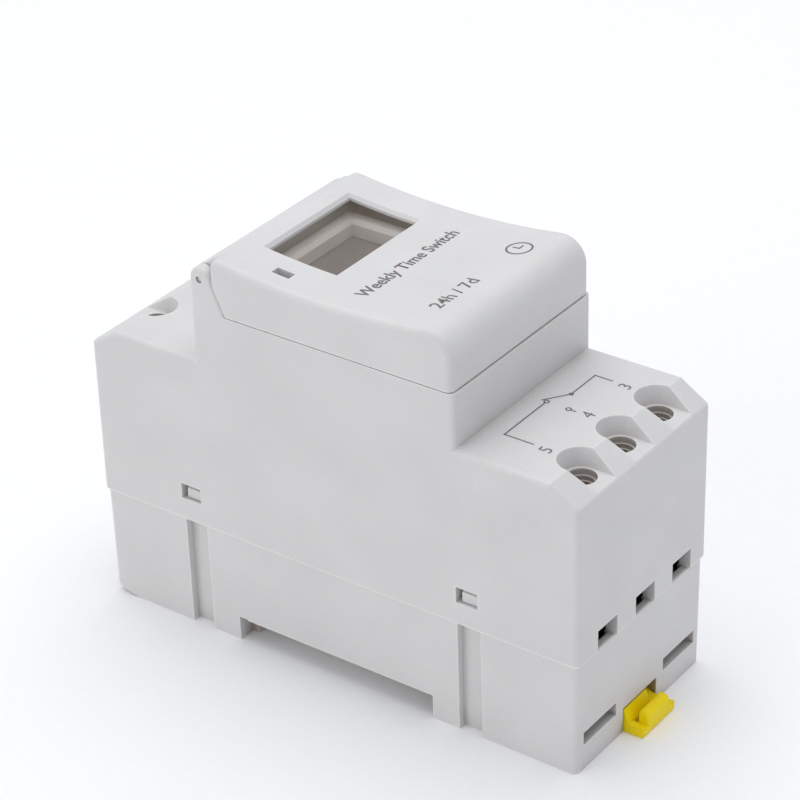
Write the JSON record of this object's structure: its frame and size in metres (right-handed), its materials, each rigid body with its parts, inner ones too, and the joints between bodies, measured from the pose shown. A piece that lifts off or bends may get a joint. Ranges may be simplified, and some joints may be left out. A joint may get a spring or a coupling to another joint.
{
  "type": "din rail timer",
  "caption": "Two-module digital timer for a 35 mm rail: stepped light housing, hinged lid with tinted display window, screw terminals at both ends and a sliding rail clip.",
  "frame": {"origin": "middle of the rail seat, on the face that lies on the rail", "axes": "+X from the supply terminals to the relay terminals and the rail clip, +Y along the rail, +Z out of the front"},
  "size_m": [0.0896, 0.035, 0.0657],
  "materials": {
    "housing_plastic": "fine satin grain",
    "window_plastic": "smoke-tinted clear plastic",
    "clip_plastic": "yellow, satin",
    "panel_plastic": "light grey, satin",
    "button_plastic": "mid grey, satin",
    "display_glass": "dark grey behind glass",
    "clear_plastic": "frosted light guide",
    "steel": "zinc-plated",
    "dark_steel": "blackened",
    "copper_alloy": "tinned brass",
    "circuit_board": "solder mask",
    "black_plastic": "moulded black",
    "relay_case": "moulded",
    "film_case": "dipped",
    "component_sleeve": "shrink sleeve",
    "cell_case": "plated can",
    "elastomer": "striped elastomer",
    "ribbon": "flat cable",
    "led_lens": "diffused lens"
  },
  "bodies": {
    "housing": {"front_housing": "housing_plastic", "base_housing": "housing_plastic", "front_panel": "panel_plastic", "lcd_glass": "display_glass", "light_pipe": "clear_plastic", "zebra_strips": "elastomer", "status_led": "led_lens", "tact_switches": "black_plastic", "display_board": "circuit_board", "main_board": "circuit_board", "board_screws": "steel", "board_ribbon": "ribbon", "relay": "relay_case", "dropper_capacitor": "film_case", "smoothing_capacitor": "component_sleeve", "backup_battery": "cell_case", "varistor": "component_sleeve", "rectifier_diodes": "black_plastic", "fuse_resistor": "component_sleeve", "controller_chip": "black_plastic", "quartz_crystal": "cell_case", "contact_bar_1": "copper_alloy", "contact_bar_2": "copper_alloy", "contact_bar_3": "copper_alloy", "contact_bar_4": "copper_alloy", "contact_bar_5": "copper_alloy"},
    "cover": {"front_cover": "housing_plastic", "cover_window": "window_plastic"},
    "clip": {"rail_clip": "clip_plastic"},
    "screw_1": {"terminal_screw_1": "steel"},
    "cage_1": {"clamp_cage_1": "dark_steel"},
    "screw_2": {"terminal_screw_2": "steel"},
    "cage_2": {"clamp_cage_2": "dark_steel"},
    "screw_3": {"terminal_screw_3": "steel"},
    "cage_3": {"clamp_cage_3": "dark_steel"},
    "screw_4": {"terminal_screw_4": "steel"},
    "cage_4": {"clamp_cage_4": "dark_steel"},
    "screw_5": {"terminal_screw_5": "steel"},
    "cage_5": {"clamp_cage_5": "dark_steel"},
    "day_key": {"button_day": "button_plastic"},
    "hour_key": {"button_hour": "button_plastic"},
    "minute_key": {"button_minute": "button_plastic"},
    "program_key": {"button_program": "button_plastic"},
    "clock_key": {"button_clock": "button_plastic"},
    "manual_key": {"button_manual": "button_plastic"},
    "reset_key": {"button_reset": "button_plastic"}
  },
  "joints": [
    {"name": "cover_hinge", "type": "hinge", "parent": "housing", "child": "cover", "pos_m": [-0.02125, 0, 0.05775], "axis": [0, -1, 0], "range_deg": [0, 155]},
    {"name": "clip_slide", "type": "slide", "parent": "housing", "child": "clip", "axis": [1, 0, 0], "range_m": [0, 0.004], "stiffness_N_per_m": 900, "springref_m": -0.001},
    {"name": "screw_1_turn", "type": "hinge", "parent": "housing", "child": "screw_1", "pos_m": [-0.03885, -0.0075, 0.0244], "axis": [0, 0, -1], "range_deg": [0, 2160]},
    {"name": "cage_1_lift", "type": "slide", "parent": "housing", "child": "cage_1", "axis": [0, 0, 1], "range_m": [0, 0.003]},
    {"name": "screw_2_turn", "type": "hinge", "parent": "housing", "child": "screw_2", "pos_m": [-0.03885, 0.0075, 0.0244], "axis": [0, 0, -1], "range_deg": [0, 2160]},
    {"name": "cage_2_lift", "type": "slide", "parent": "housing", "child": "cage_2", "axis": [0, 0, 1], "range_m": [0, 0.003]},
    {"name": "screw_3_turn", "type": "hinge", "parent": "housing", "child": "screw_3", "pos_m": [0.03885, 0.01045, 0.0244], "axis": [0, 0, -1], "range_deg": [0, 2160]},
    {"name": "cage_3_lift", "type": "slide", "parent": "housing", "child": "cage_3", "axis": [0, 0, 1], "range_m": [0, 0.003]},
    {"name": "screw_4_turn", "type": "hinge", "parent": "housing", "child": "screw_4", "pos_m": [0.03885, 0.0004, 0.0244], "axis": [0, 0, -1], "range_deg": [0, 2160]},
    {"name": "cage_4_lift", "type": "slide", "parent": "housing", "child": "cage_4", "axis": [0, 0, 1], "range_m": [0, 0.003]},
    {"name": "screw_5_turn", "type": "hinge", "parent": "housing", "child": "screw_5", "pos_m": [0.03885, -0.00965, 0.0244], "axis": [0, 0, -1], "range_deg": [0, 2160]},
    {"name": "cage_5_lift", "type": "slide", "parent": "housing", "child": "cage_5", "axis": [0, 0, 1], "range_m": [0, 0.003]},
    {"name": "day_press", "type": "slide", "parent": "housing", "child": "day_key", "axis": [0, 0, -1], "range_m": [0, 0.0003], "stiffness_N_per_m": 2000},
    {"name": "hour_press", "type": "slide", "parent": "housing", "child": "hour_key", "axis": [0, 0, -1], "range_m": [0, 0.0003], "stiffness_N_per_m": 2000},
    {"name": "minute_press", "type": "slide", "parent": "housing", "child": "minute_key", "axis": [0, 0, -1], "range_m": [0, 0.0003], "stiffness_N_per_m": 2000},
    {"name": "program_press", "type": "slide", "parent": "housing", "child": "program_key", "axis": [0, 0, -1], "range_m": [0, 0.0003], "stiffness_N_per_m": 2000},
    {"name": "clock_press", "type": "slide", "parent": "housing", "child": "clock_key", "axis": [0, 0, -1], "range_m": [0, 0.0003], "stiffness_N_per_m": 2000},
    {"name": "manual_press", "type": "slide", "parent": "housing", "child": "manual_key", "axis": [0, 0, -1], "range_m": [0, 0.0003], "stiffness_N_per_m": 2000},
    {"name": "reset_press", "type": "slide", "parent": "housing", "child": "reset_key", "axis": [0, 0, -1], "range_m": [0, 0.0003], "stiffness_N_per_m": 2000}
  ],
  "couplings": [
    {"joint": "screw_1_turn", "follows": "cage_1_lift", "rad_per_m": 12566},
    {"joint": "screw_2_turn", "follows": "cage_2_lift", "rad_per_m": 12566},
    {"joint": "screw_3_turn", "follows": "cage_3_lift", "rad_per_m": 12566},
    {"joint": "screw_4_turn", "follows": "cage_4_lift", "rad_per_m": 12566},
    {"joint": "screw_5_turn", "follows": "cage_5_lift", "rad_per_m": 12566}
  ]
}
